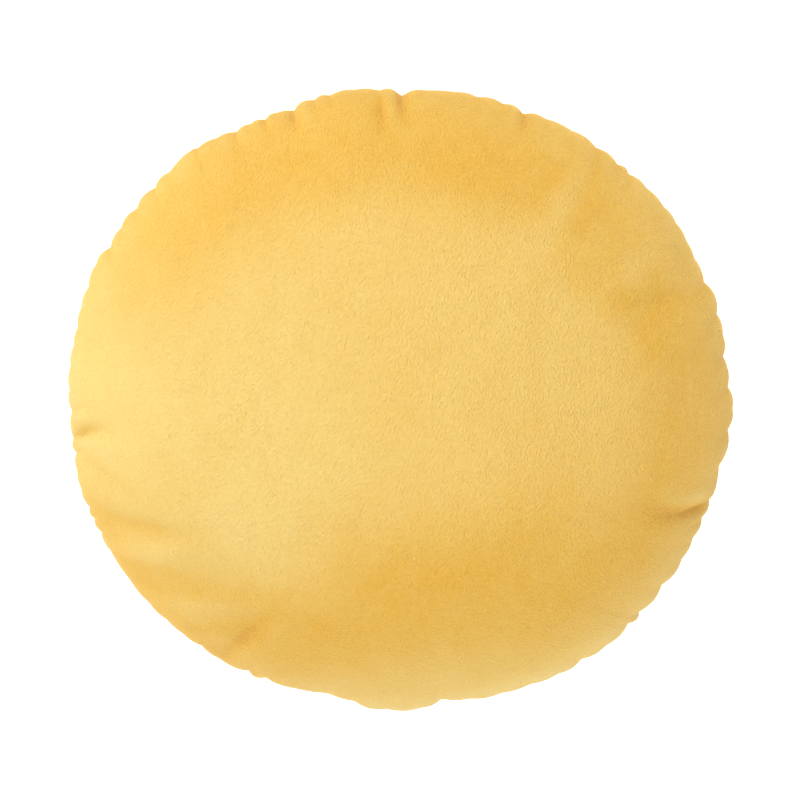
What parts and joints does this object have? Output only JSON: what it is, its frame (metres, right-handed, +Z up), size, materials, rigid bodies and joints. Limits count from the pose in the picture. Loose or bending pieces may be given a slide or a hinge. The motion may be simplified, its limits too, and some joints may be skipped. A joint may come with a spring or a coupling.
{
  "type": "round cushion",
  "caption": "Round velvet scatter cushion, lying face up: a crowned, filled disc with a puckered seam round its rim.",
  "frame": {"origin": "on the supporting surface, under the middle of the cushion's box", "axes": "+Z up through the crown, +Y towards the side where the deep notch of the seam is, +X to the right of it seen from above"},
  "size_m": [0.3992, 0.3982, 0.1467],
  "materials": {
    "velvet": "honey yellow polyester velvet, short cut pile, brushed, with a pale sheen at grazing angles"
  },
  "bodies": {
    "root": {"cushion": "velvet"}
  },
  "joints": []
}
